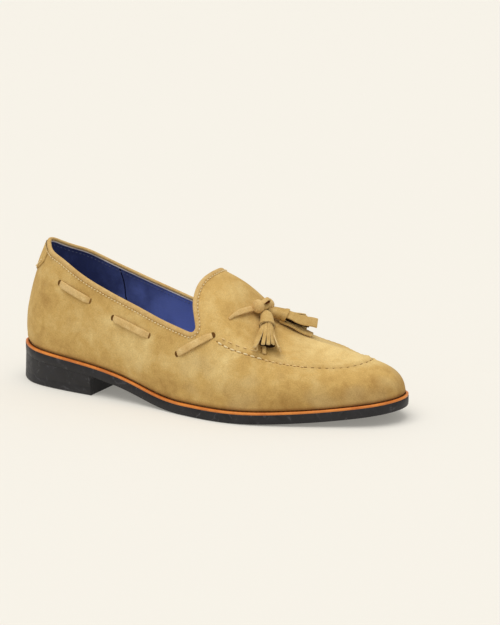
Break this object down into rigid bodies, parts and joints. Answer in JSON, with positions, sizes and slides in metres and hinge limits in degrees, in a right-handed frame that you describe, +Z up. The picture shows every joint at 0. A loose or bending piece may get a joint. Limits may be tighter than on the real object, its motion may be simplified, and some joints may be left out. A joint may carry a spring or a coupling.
{
  "type": "tassel loafer",
  "caption": "Right-foot suede slip-on loafer: hollow upper with an open collar, apron seam, side lacing, tassels on the vamp, welted sole and stacked heel.",
  "frame": {"origin": "on the floor, under the middle of the sole's footprint", "axes": "+X from heel to toe, +Y to the medial side of the right foot, +Z up"},
  "size_m": [0.3011, 0.1061, 0.1041],
  "materials": {
    "suede": "napped sand-coloured suede",
    "suede_trim": "suede binding, laces and tassels, a little pinker than the upper",
    "lining": "smooth blue lining leather",
    "welt": "orange-tan smooth leather welt",
    "sole": "near-black dressed edge, satin"
  },
  "bodies": {
    "root": {"heel": "sole", "heel_tab": "suede", "insole": "lining", "lace_bar_lateral_1": "suede_trim", "lace_bar_lateral_2": "suede_trim", "lace_bar_lateral_3": "suede_trim", "lace_bar_medial_1": "suede_trim", "lace_bar_medial_2": "suede_trim", "lace_bar_medial_3": "suede_trim", "lace_front": "suede_trim", "lace_knot": "suede_trim", "outsole": "sole", "tassel_lateral": "suede_trim", "tassel_medial": "suede_trim", "topline_binding": "suede_trim", "upper": "suede", "welt": "welt"}
  },
  "joints": []
}
